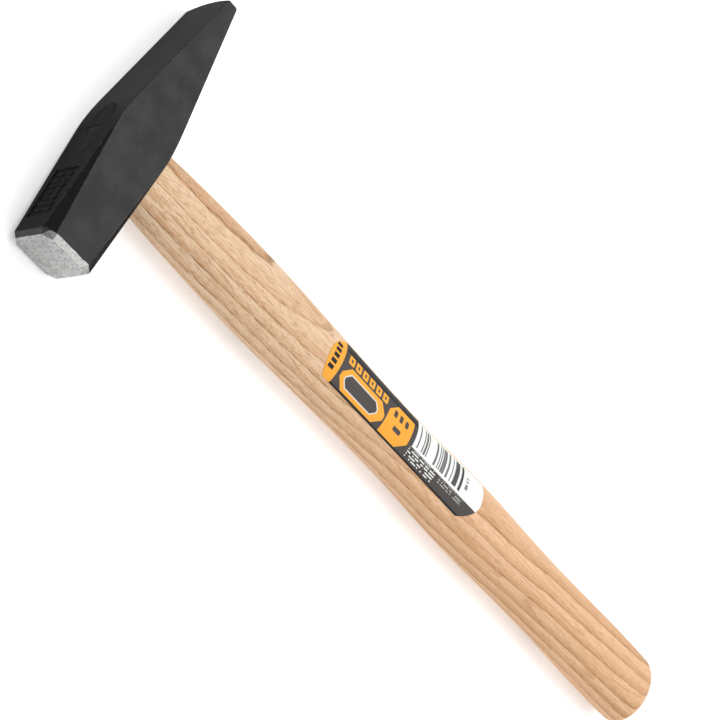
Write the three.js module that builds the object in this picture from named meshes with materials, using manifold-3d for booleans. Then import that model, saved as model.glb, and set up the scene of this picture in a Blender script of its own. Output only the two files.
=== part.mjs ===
// A 200 g cross-pein engineer's hammer: forged steel head, oval ash handle wedged into the eye,
// and a printed label on the grip. Millimetres, +Z up, lying on its lower cheek.
//
// The origin lies on the lower cheek, where the handle's centre line crosses the head's.
// +X runs along the handle to the butt, +Y from the striking face to the pein, and +Z from the
// lower cheek to the upper one.

import * as THREE from 'three';
import { mergeVertices } from 'three/addons/utils/BufferGeometryUtils.js';
import Module from 'manifold-3d';

const wasm = await Module();
wasm.setup();

// Head
const HEAD_LENGTH = 95;
const CHEEK_WIDTH = 19;
const FACE_HEIGHT = 19;
const EYE_BLOCK_HEIGHT = 20;
const FACE_TO_EYE = 38;
const EYE_TO_BEND = 6.5;
const BEND_SPAN = 7;
const PEIN_THICKNESS = 4;
const PEIN_ROUND = 0.8;
const PEIN_CROWN = 1.2;
const CORNER_CHAMFER = 3.2;
const FACE_BEVEL = 1.3;
const FACE_BEVEL_DEPTH = 1.7;

// Blank stamped panel on top of the poll
const PANEL_LENGTH = 17;
const PANEL_WIDTH = 10.5;
const PANEL_DEPTH = 0.4;
const PANEL_FROM_FACE = 6.5;

// Oval eye, narrowest at half height and flared towards the top and the underside
const EYE_LENGTH = 18.2;
const EYE_WIDTH = 8.8;
const EYE_FLARE = 0.7;

// Handle
const HANDLE_LENGTH = 280;
const TENON_PROUD = 0.1;
const BUTT_DOME = 5.5;
const SHOULDER_ROUND = 0.5;
const SHOULDER_LEDGE = 0.6;
const SHOULDER_SIDE_LEDGE = 2.4;

// Wedges
const WOOD_WEDGE_DEPTH = 14;
const WOOD_WEDGE_THICKNESS = 2.6;
const WOOD_WEDGE_TIP = 0.8;
const STEEL_WEDGE_DEPTH = 10;
const STEEL_WEDGE_WIDTH = 6.4;
const STEEL_WEDGE_THICKNESS = 1.9;
const STEEL_WEDGE_TIP = 0.7;

// Label
const LABEL_FROM_HEAD = 77.2;
const LABEL_LENGTH = 77.3;
const LABEL_THICKNESS = 0.25;
const LABEL_START_ANGLE = THREE.MathUtils.degToRad(-31);
const LABEL_END_ANGLE = THREE.MathUtils.degToRad(50);
const LABEL_CORNERS = { startLow: 2.5, startHigh: 6.5, endLow: 6.3, endHigh: 0.6 };

// Fits
const FIT_GAP = 0.3;

// Worked out from the sizes above
const CENTRE_Z = CHEEK_WIDTH / 2;
const FACE_Y = -FACE_TO_EYE;
const PEIN_Y = FACE_Y + HEAD_LENGTH;
const EYE_HALF = EYE_BLOCK_HEIGHT / 2;
const FACE_HALF = FACE_HEIGHT / 2;
const TENON_TOP = -EYE_HALF - TENON_PROUD;
const SHOULDER_X = EYE_HALF + FIT_GAP;
const BUTT_X = TENON_TOP + HANDLE_LENGTH;
const CUT_SIZE = 2 * HEAD_LENGTH;
const X_AXIS = new THREE.Vector3(1, 0, 0);
const Y_AXIS = new THREE.Vector3(0, 1, 0);
const Z_AXIS = new THREE.Vector3(0, 0, 1);

// The grip's outline: how far along the grip, half its height (Y) and half its thickness (Z).
// At the head it stands out from the eye all round, so that it seats against the underside.
const GRIP_OUTLINE = [
  {
    along: 0.0,
    halfHeight: EYE_LENGTH / 2 + EYE_FLARE + SHOULDER_LEDGE,
    halfThickness: EYE_WIDTH / 2 + EYE_FLARE + SHOULDER_SIDE_LEDGE,
  },
  { along: 0.09, halfHeight: 11.7, halfThickness: 8.4 },
  { along: 0.2, halfHeight: 12.3, halfThickness: 8.9 },
  { along: 0.31, halfHeight: 11.8, halfThickness: 8.6 },
  { along: 0.46, halfHeight: 11.3, halfThickness: 8.2 },
  { along: 0.6, halfHeight: 12.4, halfThickness: 8.8 },
  { along: 0.76, halfHeight: 11.9, halfThickness: 8.6 },
  { along: 0.93, halfHeight: 12.7, halfThickness: 9.2 },
  { along: 1.0, halfHeight: 12.5, halfThickness: 9.1 },
];

// ---------------------------------------------------------------- solids

function toSolid(geometry) {
  const shell = new THREE.BufferGeometry();
  shell.setAttribute('position', geometry.getAttribute('position').clone());
  shell.setIndex(geometry.index ? geometry.index.clone() : null);
  const merged = mergeVertices(shell, 1e-5);
  const corners = merged.index.array;
  const kept = [];
  for (let i = 0; i < corners.length; i += 3) {
    const [a, b, c] = [corners[i], corners[i + 1], corners[i + 2]];
    if (a !== b && b !== c && c !== a) {
      kept.push(a, b, c);
    }
  }
  const mesh = new wasm.Mesh({
    numProp: 3,
    vertProperties: Float32Array.from(merged.getAttribute('position').array),
    triVerts: Uint32Array.from(kept),
  });
  return new wasm.Manifold(mesh);
}

function toGeometry(solid) {
  const mesh = solid.getMesh();
  const geometry = new THREE.BufferGeometry();
  geometry.setAttribute('position', new THREE.BufferAttribute(mesh.vertProperties, 3));
  geometry.setIndex(new THREE.BufferAttribute(mesh.triVerts, 1));
  geometry.computeVertexNormals();
  return geometry;
}

// An outline extruded by a depth, with its own right, up and depth directions laid on the given ones.
function extrudeOn(outline, depth, right, up, outward) {
  const settings = { depth, bevelEnabled: false, curveSegments: 12 };
  const geometry = new THREE.ExtrudeGeometry(outline, settings);
  return geometry.applyMatrix4(new THREE.Matrix4().makeBasis(right, up, outward));
}

// Removes everything on the side of a plane that its outward normal points to.
function trim(solid, onPlane, normal) {
  const outward = normal.clone().normalize();
  const block = new THREE.BoxGeometry(CUT_SIZE, CUT_SIZE, CUT_SIZE);
  block.translate(0, 0, CUT_SIZE / 2);
  const turn = new THREE.Quaternion().setFromUnitVectors(Z_AXIS, outward);
  block.applyQuaternion(turn);
  block.translate(onPlane.x, onPlane.y, onPlane.z);
  return solid.subtract(toSolid(block));
}

// A closed body through oval sections that follow one another along X.
function ovalLoft(sections, sides) {
  const profile = sections.map((section) => new THREE.Vector2(1, section.x));
  profile.unshift(new THREE.Vector2(0, sections[0].x));
  profile.push(new THREE.Vector2(0, sections.at(-1).x));
  const geometry = new THREE.LatheGeometry(profile, sides);
  const position = geometry.getAttribute('position');
  for (let i = 0; i < position.count; i += 1) {
    const row = THREE.MathUtils.clamp((i % profile.length) - 1, 0, sections.length - 1);
    const { x, halfY, halfZ } = sections[row];
    const across = position.getX(i);
    const upright = position.getZ(i);
    position.setXYZ(i, x, upright * halfY, CENTRE_Z + across * halfZ);
  }
  return geometry;
}

function spread(from, to, count) {
  return Array.from({ length: count + 1 }, (_, i) => THREE.MathUtils.lerp(from, to, i / count));
}

function node(name, geometry, material) {
  const mesh = new THREE.Mesh(geometry, new THREE.MeshStandardMaterial(material));
  mesh.name = name;
  return mesh;
}

// ---------------------------------------------------------------- head

// Side view: square poll, soft bend just past the eye, and a wedge that ends blunt, with round corners.
function headSideOutline() {
  const cornerX = PEIN_THICKNESS / 2 - PEIN_ROUND;
  const cornerY = PEIN_Y - PEIN_ROUND;
  const rise = EYE_HALF - cornerX;
  const run = cornerY - EYE_TO_BEND;
  const slope = Math.atan2(rise, run) - Math.asin(PEIN_ROUND / Math.hypot(rise, run));
  const bend = new THREE.Vector2(EYE_HALF, EYE_TO_BEND);
  const pollRun = new THREE.Vector2(FACE_HALF, FACE_Y).sub(bend).setLength(BEND_SPAN);
  const peinRun = new THREE.Vector2(-Math.sin(slope), Math.cos(slope)).setLength(BEND_SPAN);
  const before = bend.clone().add(pollRun);
  const after = bend.clone().add(peinRun);
  const outline = new THREE.Shape();
  outline.moveTo(-FACE_HALF, FACE_Y);
  outline.lineTo(FACE_HALF, FACE_Y);
  outline.lineTo(before.x, before.y);
  outline.quadraticCurveTo(bend.x, bend.y, after.x, after.y);
  outline.absarc(cornerX, cornerY, PEIN_ROUND, slope, Math.PI / 2);
  outline.absarc(-cornerX, cornerY, PEIN_ROUND, Math.PI / 2, Math.PI - slope);
  outline.lineTo(-after.x, after.y);
  outline.quadraticCurveTo(-bend.x, bend.y, -before.x, before.y);
  outline.closePath();
  return outline;
}

// Top view: parallel cheeks and a slightly crowned pein edge.
function headPlanOutline() {
  const half = CHEEK_WIDTH / 2;
  const radius = (half * half + PEIN_CROWN * PEIN_CROWN) / (2 * PEIN_CROWN);
  const reach = Math.asin(half / radius);
  const outline = new THREE.Shape();
  outline.moveTo(FACE_Y, CHEEK_WIDTH);
  outline.lineTo(FACE_Y, 0);
  outline.absarc(PEIN_Y - radius, half, radius, -reach, reach);
  outline.closePath();
  return outline;
}

// Four long chamfers on the poll, widest at the striking face and gone at the bend.
function chamferPollCorners(solid) {
  let cut = solid;
  for (const sideX of [-1, 1]) {
    for (const sideZ of [-1, 1]) {
      const cheekZ = CENTRE_Z + (sideZ * CHEEK_WIDTH) / 2;
      const runOut = new THREE.Vector3(sideX * EYE_HALF, EYE_TO_BEND, cheekZ);
      const onCheek = new THREE.Vector3(sideX * (FACE_HALF - CORNER_CHAMFER), FACE_Y, cheekZ);
      const onTop = new THREE.Vector3(sideX * FACE_HALF, FACE_Y, cheekZ - sideZ * CORNER_CHAMFER);
      const plane = new THREE.Plane().setFromCoplanarPoints(runOut, onCheek, onTop);
      const outward = plane.normal.multiplyScalar(Math.sign(plane.normal.x) * sideX);
      cut = trim(cut, runOut, outward);
    }
  }
  return cut;
}

// A bevel round all eight edges of the striking face.
function bevelFaceRim(solid) {
  const flat = FACE_HALF;
  const corner = (FACE_HALF + CHEEK_WIDTH / 2 - CORNER_CHAMFER) / Math.SQRT2;
  let cut = solid;
  for (let i = 0; i < 8; i += 1) {
    const angle = (i * Math.PI) / 4;
    const reach = i % 2 === 0 ? flat : corner;
    const outX = Math.cos(angle);
    const outZ = Math.sin(angle);
    const edge = new THREE.Vector3(outX * reach, FACE_Y + FACE_BEVEL_DEPTH, CENTRE_Z + outZ * reach);
    const normal = new THREE.Vector3(outX * FACE_BEVEL_DEPTH, -FACE_BEVEL, outZ * FACE_BEVEL_DEPTH);
    cut = trim(cut, edge, normal);
  }
  return cut;
}

function panelPocket() {
  const middleY = FACE_Y + PANEL_FROM_FACE + PANEL_LENGTH / 2;
  const rise = (EYE_HALF - FACE_HALF) / (EYE_TO_BEND - FACE_Y);
  const surface = FACE_HALF + rise * (middleY - FACE_Y);
  const pocket = new THREE.BoxGeometry(2 * PANEL_DEPTH, PANEL_LENGTH, PANEL_WIDTH);
  pocket.rotateZ(Math.atan(rise));
  return pocket.translate(-surface, middleY, CENTRE_Z);
}

// The eye's oval at a height x, made smaller all round by a clearance.
function eyeSection(x, clearance) {
  const flare = EYE_FLARE * Math.min(1, Math.abs(x) / EYE_HALF) ** 2;
  return {
    x,
    halfY: EYE_LENGTH / 2 + flare - clearance,
    halfZ: EYE_WIDTH / 2 + flare - clearance,
  };
}

function headGeometry() {
  const side = extrudeOn(headSideOutline(), CHEEK_WIDTH, X_AXIS, Y_AXIS, Z_AXIS);
  const plan = extrudeOn(headPlanOutline(), 2 * CUT_SIZE, Y_AXIS, Z_AXIS, X_AXIS);
  plan.translate(-CUT_SIZE, 0, 0);
  const eye = ovalLoft(
    spread(-EYE_HALF - 1, EYE_HALF + 1, 11).map((x) => eyeSection(x, 0)),
    36,
  );
  let solid = toSolid(side).intersect(toSolid(plan));
  solid = chamferPollCorners(solid);
  solid = bevelFaceRim(solid);
  solid = solid.subtract(toSolid(panelPocket()));
  solid = solid.subtract(toSolid(eye));
  return toGeometry(solid);
}

// ---------------------------------------------------------------- handle

const gripCurve = new THREE.CubicInterpolant(
  GRIP_OUTLINE.map((station) => station.along),
  GRIP_OUTLINE.flatMap((station) => [station.halfHeight, station.halfThickness]),
  2,
);

// The grip's oval at x, made larger all round by an offset.
function gripSection(x, offset) {
  const along = THREE.MathUtils.inverseLerp(SHOULDER_X, BUTT_X, x);
  const [halfHeight, halfThickness] = gripCurve.evaluate(THREE.MathUtils.clamp(along, 0, 1));
  return { x, halfY: halfHeight + offset, halfZ: halfThickness + offset };
}

function tenonSections() {
  return spread(TENON_TOP, SHOULDER_X, 9).map((x) => eyeSection(x, FIT_GAP));
}

function gripSections() {
  const shoulder = spread(0, Math.PI / 2, 3).map((turn) => {
    const x = SHOULDER_X + SHOULDER_ROUND * (1 - Math.cos(turn));
    return gripSection(x, SHOULDER_ROUND * (Math.sin(turn) - 1));
  });
  const body = spread(SHOULDER_X + SHOULDER_ROUND, BUTT_X - BUTT_DOME, 40).slice(1);
  const dome = spread(0, Math.PI / 2, 7).slice(1, -1).map((turn) => {
    const section = gripSection(BUTT_X - BUTT_DOME * (1 - Math.sin(turn)), 0);
    const shrink = Math.cos(turn) ** 0.6;
    return { x: section.x, halfY: section.halfY * shrink, halfZ: section.halfZ * shrink };
  });
  return [...shoulder, ...body.map((x) => gripSection(x, 0)), ...dome];
}

// A block that tapers from its driven end at the tenon's top down to its tip, grown by a gap.
function wedgeBlock({ depth, thickness, tip, width }, gap, acrossAxis, widthAxis) {
  const outline = new THREE.Shape();
  outline.moveTo(-thickness / 2 - gap, TENON_TOP - gap);
  outline.lineTo(thickness / 2 + gap, TENON_TOP - gap);
  outline.lineTo(tip / 2 + gap, TENON_TOP + depth + gap);
  outline.lineTo(-tip / 2 - gap, TENON_TOP + depth + gap);
  outline.closePath();
  const length = width + 2 * gap;
  const block = extrudeOn(outline, length, acrossAxis, X_AXIS, widthAxis);
  block.translate(0, 0, CENTRE_Z);
  return block.translate(...widthAxis.clone().multiplyScalar(-length / 2).toArray());
}

// The wooden wedge lies along the eye, and its faces look to the two cheeks.
function woodWedgeBlock(gap) {
  const sizes = {
    depth: WOOD_WEDGE_DEPTH,
    thickness: WOOD_WEDGE_THICKNESS,
    tip: WOOD_WEDGE_TIP,
    width: 2 * EYE_LENGTH,
  };
  return toSolid(wedgeBlock(sizes, gap, Z_AXIS, Y_AXIS));
}

// The steel wedge crosses it, and its faces look to the striking face and the pein.
function steelWedgeBlock(gap) {
  const sizes = {
    depth: STEEL_WEDGE_DEPTH,
    thickness: STEEL_WEDGE_THICKNESS,
    tip: STEEL_WEDGE_TIP,
    width: STEEL_WEDGE_WIDTH,
  };
  return toSolid(wedgeBlock(sizes, gap, Y_AXIS, Z_AXIS.clone().negate()));
}

function handleGeometry() {
  const blank = toSolid(ovalLoft([...tenonSections(), ...gripSections()], 40));
  return toGeometry(blank.subtract(woodWedgeBlock(FIT_GAP)).subtract(steelWedgeBlock(FIT_GAP)));
}

function woodWedgeGeometry() {
  const tenon = toSolid(ovalLoft(tenonSections(), 40));
  return toGeometry(woodWedgeBlock(0).intersect(tenon).subtract(steelWedgeBlock(FIT_GAP)));
}

// ---------------------------------------------------------------- label

// How far the sheet's curved ends draw in towards a corner, at a place from -0.5 to 0.5 across it.
function labelInset(across, lowCorner, highCorner) {
  const corner = across < 0 ? lowCorner : highCorner;
  return corner * (2 * across) ** 2;
}

// A thin sheet wrapped part of the way round the grip, with curved ends.
function labelGeometry() {
  const startX = SHOULDER_X + LABEL_FROM_HEAD;
  const sheet = new THREE.BoxGeometry(1, 1, 1, 18, 12, 1);
  const position = sheet.getAttribute('position');
  for (let i = 0; i < position.count; i += 1) {
    const across = position.getY(i);
    const near = startX + labelInset(across, LABEL_CORNERS.startLow, LABEL_CORNERS.startHigh);
    const far = startX + LABEL_LENGTH - labelInset(across, LABEL_CORNERS.endLow, LABEL_CORNERS.endHigh);
    const x = THREE.MathUtils.lerp(near, far, position.getX(i) + 0.5);
    const lift = FIT_GAP + (position.getZ(i) > 0 ? LABEL_THICKNESS : 0);
    const { halfY, halfZ } = gripSection(x, lift);
    const angle = THREE.MathUtils.lerp(LABEL_START_ANGLE, LABEL_END_ANGLE, across + 0.5);
    position.setXYZ(i, x, halfY * Math.sin(angle), CENTRE_Z + halfZ * Math.cos(angle));
  }
  return toGeometry(toSolid(sheet));
}

// ---------------------------------------------------------------- hammer

const hammer = new THREE.Group();
hammer.add(
  node('head', headGeometry(), { color: 0x333333, roughness: 0.55, metalness: 0.1 }),
  node('handle', handleGeometry(), { color: 0xdcb487, roughness: 0.5, metalness: 0 }),
  node('wooden_wedge', woodWedgeGeometry(), { color: 0xc99a68, roughness: 0.7, metalness: 0 }),
  node('steel_wedge', toGeometry(steelWedgeBlock(0)), {
    color: 0x777777,
    roughness: 0.5,
    metalness: 1,
  }),
  node('label', labelGeometry(), { color: 0xf0a030, roughness: 0.45, metalness: 0 }),
);

export default hammer;
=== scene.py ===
"""A 200 g cross-pein hammer with an ash handle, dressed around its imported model. Metres, +Z up."""

import logging
import math
from collections.abc import Sequence
from dataclasses import dataclass, field
from enum import Enum
from functools import cached_property, partialmethod

import bmesh
import bpy
from mathutils import Euler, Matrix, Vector
from mathutils.bvhtree import BVHTree


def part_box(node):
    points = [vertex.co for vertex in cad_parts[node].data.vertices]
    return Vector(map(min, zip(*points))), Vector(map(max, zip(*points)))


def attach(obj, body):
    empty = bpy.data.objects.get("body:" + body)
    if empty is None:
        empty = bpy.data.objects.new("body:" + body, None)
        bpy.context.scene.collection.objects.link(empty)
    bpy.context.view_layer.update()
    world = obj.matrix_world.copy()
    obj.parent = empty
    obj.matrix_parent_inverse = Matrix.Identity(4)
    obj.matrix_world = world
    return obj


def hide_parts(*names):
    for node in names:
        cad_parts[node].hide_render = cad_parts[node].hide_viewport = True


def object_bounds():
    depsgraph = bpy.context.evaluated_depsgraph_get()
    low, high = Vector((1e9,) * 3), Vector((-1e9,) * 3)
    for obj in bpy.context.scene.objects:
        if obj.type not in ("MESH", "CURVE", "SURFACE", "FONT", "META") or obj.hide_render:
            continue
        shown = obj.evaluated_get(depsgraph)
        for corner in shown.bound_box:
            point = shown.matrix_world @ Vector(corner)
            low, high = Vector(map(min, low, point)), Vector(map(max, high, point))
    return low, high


log = logging.getLogger("hammer")

MM = 0.001
SOFT_EDGE = 0.1 * MM
ROOT = "root"
Piece = bpy.types.Object
Material = bpy.types.Material
BMesh = bmesh.types.BMesh
Colour = tuple[float, float, float]
Point = tuple[float, float, float]
Pair = tuple[float, float]

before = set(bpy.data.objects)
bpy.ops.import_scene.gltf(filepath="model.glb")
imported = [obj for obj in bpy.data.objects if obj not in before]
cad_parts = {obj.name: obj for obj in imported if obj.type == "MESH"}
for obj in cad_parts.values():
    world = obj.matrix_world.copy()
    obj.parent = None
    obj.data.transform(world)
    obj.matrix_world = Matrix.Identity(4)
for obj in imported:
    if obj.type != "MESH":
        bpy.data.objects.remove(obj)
cad_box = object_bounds()


# ---------------------------------------------------------------- shader maths


class Wire:
    """A number or vector flowing through a node tree, with Python arithmetic on it."""

    def __init__(self, tree: "Tree", socket: bpy.types.NodeSocket) -> None:
        """Wraps a socket.

        Args:
            tree: The tree that the socket belongs to.
            socket: The output socket.
        """
        self.tree = tree
        self.socket = socket

    def _maths(self, operation: str, *others: "Wire | float", swap: bool = False) -> "Wire":
        """Adds a Math node.

        Args:
            operation: The Math node's operation.
            others: The other operands.
            swap: Whether this wire is the second operand.

        Returns:
            The result as a wire.
        """
        operands = [self, *others]
        if swap:
            operands.reverse()
        return self.tree.node("ShaderNodeMath", {"operation": operation}, dict(enumerate(operands)))

    __add__ = __radd__ = partialmethod(_maths, "ADD")
    __sub__ = partialmethod(_maths, "SUBTRACT")
    __rsub__ = partialmethod(_maths, "SUBTRACT", swap=True)
    __mul__ = __rmul__ = partialmethod(_maths, "MULTIPLY")
    __truediv__ = partialmethod(_maths, "DIVIDE")
    __gt__ = partialmethod(_maths, "GREATER_THAN")
    __abs__ = partialmethod(_maths, "ABSOLUTE")
    power = partialmethod(_maths, "POWER")
    root = partialmethod(_maths, "SQRT")
    least = partialmethod(_maths, "MINIMUM")
    most = partialmethod(_maths, "MAXIMUM")
    fraction = partialmethod(_maths, "FRACT")
    whole = partialmethod(_maths, "FLOOR")
    sine = partialmethod(_maths, "SINE")
    cosine = partialmethod(_maths, "COSINE")

    def step(self, low: float, high: float) -> "Wire":
        """A soft step.

        Args:
            low: Where the step leaves zero.
            high: Where it reaches one. Below low, the step falls.

        Returns:
            The step, from 0 to 1.
        """
        if low > high:
            return 1 - self.step(high, low)
        settings = {"interpolation_type": "SMOOTHSTEP"}
        return self.tree.node("ShaderNodeMapRange", settings, {0: self, 1: low, 2: high})


class Tree:
    """A node tree, and the one way that nodes are added to it."""

    def __init__(self, tree: bpy.types.NodeTree) -> None:
        """Holds the tree.

        Args:
            tree: The material's tree or the geometry's tree.
        """
        self.tree = tree

    def node(
        self,
        kind: str,
        settings: dict[str, object],
        inputs: dict[int | str, object],
        output: int | str = 0,
    ) -> Wire:
        """Adds a node.

        Args:
            kind: The node's type.
            settings: Its properties, set before its sockets.
            inputs: Values or wires for its sockets, by index or name.
            output: The output to carry on from.

        Returns:
            That output as a wire.
        """
        made = self.tree.nodes.new(kind)
        for key, value in settings.items():
            setattr(made, key, value)
        for key, value in inputs.items():
            if isinstance(value, Wire):
                self.tree.links.new(value.socket, made.inputs[key])
            else:
                made.inputs[key].default_value = value
        return Wire(self, made.outputs[output])

    def split(self, vector: Wire) -> tuple[Wire, Wire, Wire]:
        """The three parts of a vector.

        Args:
            vector: The vector.

        Returns:
            Its x, y and z.
        """
        outputs = self.node("ShaderNodeSeparateXYZ", {}, {0: vector}).socket.node.outputs
        return Wire(self, outputs[0]), Wire(self, outputs[1]), Wire(self, outputs[2])

    def join(self, x: Wire | float, y: Wire | float, z: Wire | float) -> Wire:
        """A vector of three parts.

        Args:
            x: The first.
            y: The second.
            z: The third.

        Returns:
            The vector.
        """
        return self.node("ShaderNodeCombineXYZ", {}, {0: x, 1: y, 2: z})


class Bench(Tree):
    """A material's node tree, and what finishes use to build it."""

    def __init__(self, name: str) -> None:
        """Makes an empty material.

        Args:
            name: The material's name.
        """
        self.material = bpy.data.materials.new(name)
        self.material.use_nodes = True
        super().__init__(self.material.node_tree)
        self.tree.nodes.clear()

    @cached_property
    def place(self) -> Wire:
        """The point on the piece, in metres."""
        return self.node("ShaderNodeTexCoord", {}, {}, "Object")

    @cached_property
    def xyz(self) -> tuple[Wire, Wire, Wire]:
        """That point's x, y and z."""
        return self.split(self.place)

    def mark(self, name: str) -> Wire:
        """A number stored on the mesh."""
        return self.node("ShaderNodeAttribute", {"attribute_name": name}, {}, "Fac")

    def dipped(self, dip_x: float) -> Wire:
        """Where the black dip reaches, which is from the driven end down to dip_x."""
        return self.xyz[0].step(dip_x + SOFT_EDGE, dip_x - SOFT_EDGE)

    def noise(self, scale: float | Point, detail: float = 2, rough: float = 0.5) -> Wire:
        """Soft cloudy noise over the piece.

        Args:
            scale: Patches per metre, as one number or one for each axis.
            detail: Layers of finer noise.
            rough: How strong the finer layers are.

        Returns:
            The noise, about 0.5.
        """
        where = self.place
        if isinstance(scale, tuple):
            spread = {"Vector": where, "Scale": scale}
            where, scale = self.node("ShaderNodeMapping", {"vector_type": "POINT"}, spread), 1
        values = {"Vector": where, "Scale": scale, "Detail": detail, "Roughness": rough}
        return self.node("ShaderNodeTexNoise", {}, values, "Fac")

    def chance(self, number: Wire) -> Wire:
        """A random number from 0 to 1 for each different number."""
        settings = {"noise_dimensions": "1D"}
        return self.node("ShaderNodeTexWhiteNoise", settings, {"W": number}, "Value")

    def blend(self, mask: Wire, first: Wire | Colour, second: Wire | Colour) -> Wire:
        """Mixes two colours.

        Args:
            mask: How much of the second.
            first: The colour where the mask is 0.
            second: The colour where the mask is 1.

        Returns:
            The mixed colour.
        """
        settings = {"data_type": "RGBA", "clamp_factor": True}
        values = {0: mask, 6: self._rgba(first), 7: self._rgba(second)}
        return self.node("ShaderNodeMix", settings, values, 2)

    @staticmethod
    def _rgba(colour: Wire | Colour) -> Wire | tuple[float, ...]:
        """A colour with its alpha."""
        return colour if isinstance(colour, Wire) else (*colour, 1.0)

    def relief(self, *layers: tuple[Wire, float]) -> Wire:
        """Stacks height layers as bumps.

        Args:
            layers: Each a height wire and its depth in metres.

        Returns:
            The bumped normal.
        """
        normal = None
        for height, depth in layers:
            values = {"Strength": 1.0, "Distance": depth, "Height": height}
            if normal is not None:
                values["Normal"] = normal
            normal = self.node("ShaderNodeBump", {}, values)
        return normal

    def finish(self, **sockets: object) -> Material:
        """Closes the tree with a Principled shader.

        Args:
            sockets: Its sockets, with spaces in their names as underscores.

        Returns:
            The material.
        """
        values = {key.replace("_", " "): value for key, value in sockets.items()}
        shader = self.node("ShaderNodeBsdfPrincipled", {}, values)
        output = self.tree.nodes.new("ShaderNodeOutputMaterial")
        self.tree.links.new(shader.socket, output.inputs["Surface"])
        return self.material


class Jig(Tree):
    """A Geometry Nodes tree with named inputs, run once to give a plain mesh."""

    def __init__(self, name: str, sizes: dict[str, str]) -> None:
        """Makes the tree and its inputs.

        Args:
            name: The tree's name.
            sizes: Each input's name and kind of socket.
        """
        tree = bpy.data.node_groups.new(name, "GeometryNodeTree")
        for label, kind in sizes.items():
            tree.interface.new_socket(label, in_out="INPUT", socket_type=kind)
        tree.interface.new_socket("Geometry", in_out="OUTPUT", socket_type="NodeSocketGeometry")
        super().__init__(tree)
        self.entry = tree.nodes.new("NodeGroupInput")

    def size(self, label: str) -> Wire:
        """The named input as a wire."""
        return Wire(self, self.entry.outputs[label])

    def close(self, geometry: Wire, material: Material) -> None:
        """Ends the tree in real faces with a material.

        Args:
            geometry: What was made.
            material: Its finish.
        """
        real = self.node("GeometryNodeRealizeInstances", {}, {"Geometry": geometry})
        dressed = self.node("GeometryNodeSetMaterial", {}, {"Geometry": real, "Material": material})
        self.tree.links.new(dressed.socket, self.tree.nodes.new("NodeGroupOutput").inputs[0])

    def run(self, name: str, sizes: dict[str, float]) -> Piece:
        """Runs the tree.

        Args:
            name: The new piece's name.
            sizes: The inputs' values by name.

        Returns:
            The piece as a plain mesh.
        """
        carrier = bpy.data.objects.new(name + "_carrier", bpy.data.meshes.new(name + "_carrier"))
        bpy.context.scene.collection.objects.link(carrier)
        modifier = carrier.modifiers.new("jig", "NODES")
        modifier.node_group = self.tree
        for item in self.tree.interface.items_tree:
            if item.in_out == "INPUT":
                modifier[item.identifier] = sizes[item.name]
        return settle(carrier, name)


# ---------------------------------------------------------------- mesh work


def settle(carrier: Piece, name: str) -> Piece:
    """Turns an object with live modifiers into a plain mesh, and removes it.

    Args:
        carrier: The object.
        name: The plain piece's name.

    Returns:
        The plain piece.
    """
    bpy.context.view_layer.update()
    evaluated = carrier.evaluated_get(bpy.context.evaluated_depsgraph_get())
    mesh = bpy.data.meshes.new_from_object(evaluated)
    bpy.data.objects.remove(carrier)
    mesh.name = name
    return link(name, mesh)


def link(name: str, mesh: bpy.types.Mesh) -> Piece:
    """Puts a mesh in the scene.

    Args:
        name: The piece's name.
        mesh: Its mesh.

    Returns:
        The piece.
    """
    piece = bpy.data.objects.new(name, mesh)
    bpy.context.scene.collection.objects.link(piece)
    return piece


def from_bmesh(name: str, bm: BMesh) -> Piece:
    """Makes a piece of a bmesh, with its faces outwards.

    Args:
        name: The piece's name.
        bm: The bmesh, which is freed.

    Returns:
        The piece.
    """
    bmesh.ops.recalc_face_normals(bm, faces=bm.faces)
    mesh = bpy.data.meshes.new(name)
    bm.to_mesh(mesh)
    bm.free()
    return link(name, mesh)


def carve(piece: Piece, cuts: Sequence[tuple[str, Piece]]) -> Piece:
    """Joins or cuts a piece with others, which are used up.

    Args:
        piece: The piece.
        cuts: Each an operation and the other solid.

    Returns:
        The carved piece as a plain mesh, under the same name.
    """
    for operation, other in cuts:
        modifier = piece.modifiers.new(operation, "BOOLEAN")
        modifier.operation = operation
        modifier.solver = "EXACT"
        modifier.object = other
    carved = settle(piece, piece.name)
    for _, other in cuts:
        bpy.data.objects.remove(other)
    return carved


def smooth(piece: Piece, crease: float) -> None:
    """Shades a piece smooth but for its creases, with its flats kept flat.

    Args:
        piece: The piece.
        crease: The angle past which an edge stays sharp, in degrees.
    """
    bm = bmesh.new()
    bm.from_mesh(piece.data)
    bmesh.ops.remove_doubles(bm, verts=bm.verts, dist=0.002 * MM)
    bmesh.ops.recalc_face_normals(bm, faces=bm.faces)
    bm.to_mesh(piece.data)
    bm.free()
    piece.data.shade_smooth()
    piece.data.set_sharp_from_angle(angle=math.radians(crease))
    modifier = piece.modifiers.new("flats", "WEIGHTED_NORMAL")
    modifier.keep_sharp = True


def soften(piece: Piece, width: float, crease: float) -> Piece:
    """Rounds a piece's edges a little and shades it.

    Args:
        piece: The piece, which is used up.
        width: How far each round reaches.
        crease: The angle past which an edge stays sharp, in degrees.

    Returns:
        The rounded piece as a plain mesh, under the same name.
    """
    modifier = piece.modifiers.new("round", "BEVEL")
    modifier.width = width
    modifier.segments = 2
    softened = settle(piece, piece.name)
    smooth(softened, crease)
    return softened


def skin(bm: BMesh, rows: Sequence[Sequence[bmesh.types.BMVert]]) -> None:
    """Closes a solid over rings of points, with a face at each end.

    Args:
        bm: The bmesh that the points are in.
        rows: The rings, in order along the solid.
    """
    for near, far in zip(rows, rows[1:]):
        for i in range(len(near)):
            j = (i + 1) % len(near)
            bm.faces.new((near[i], near[j], far[j], far[i]))
    bm.faces.new(rows[0])
    bm.faces.new(rows[-1])


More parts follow.
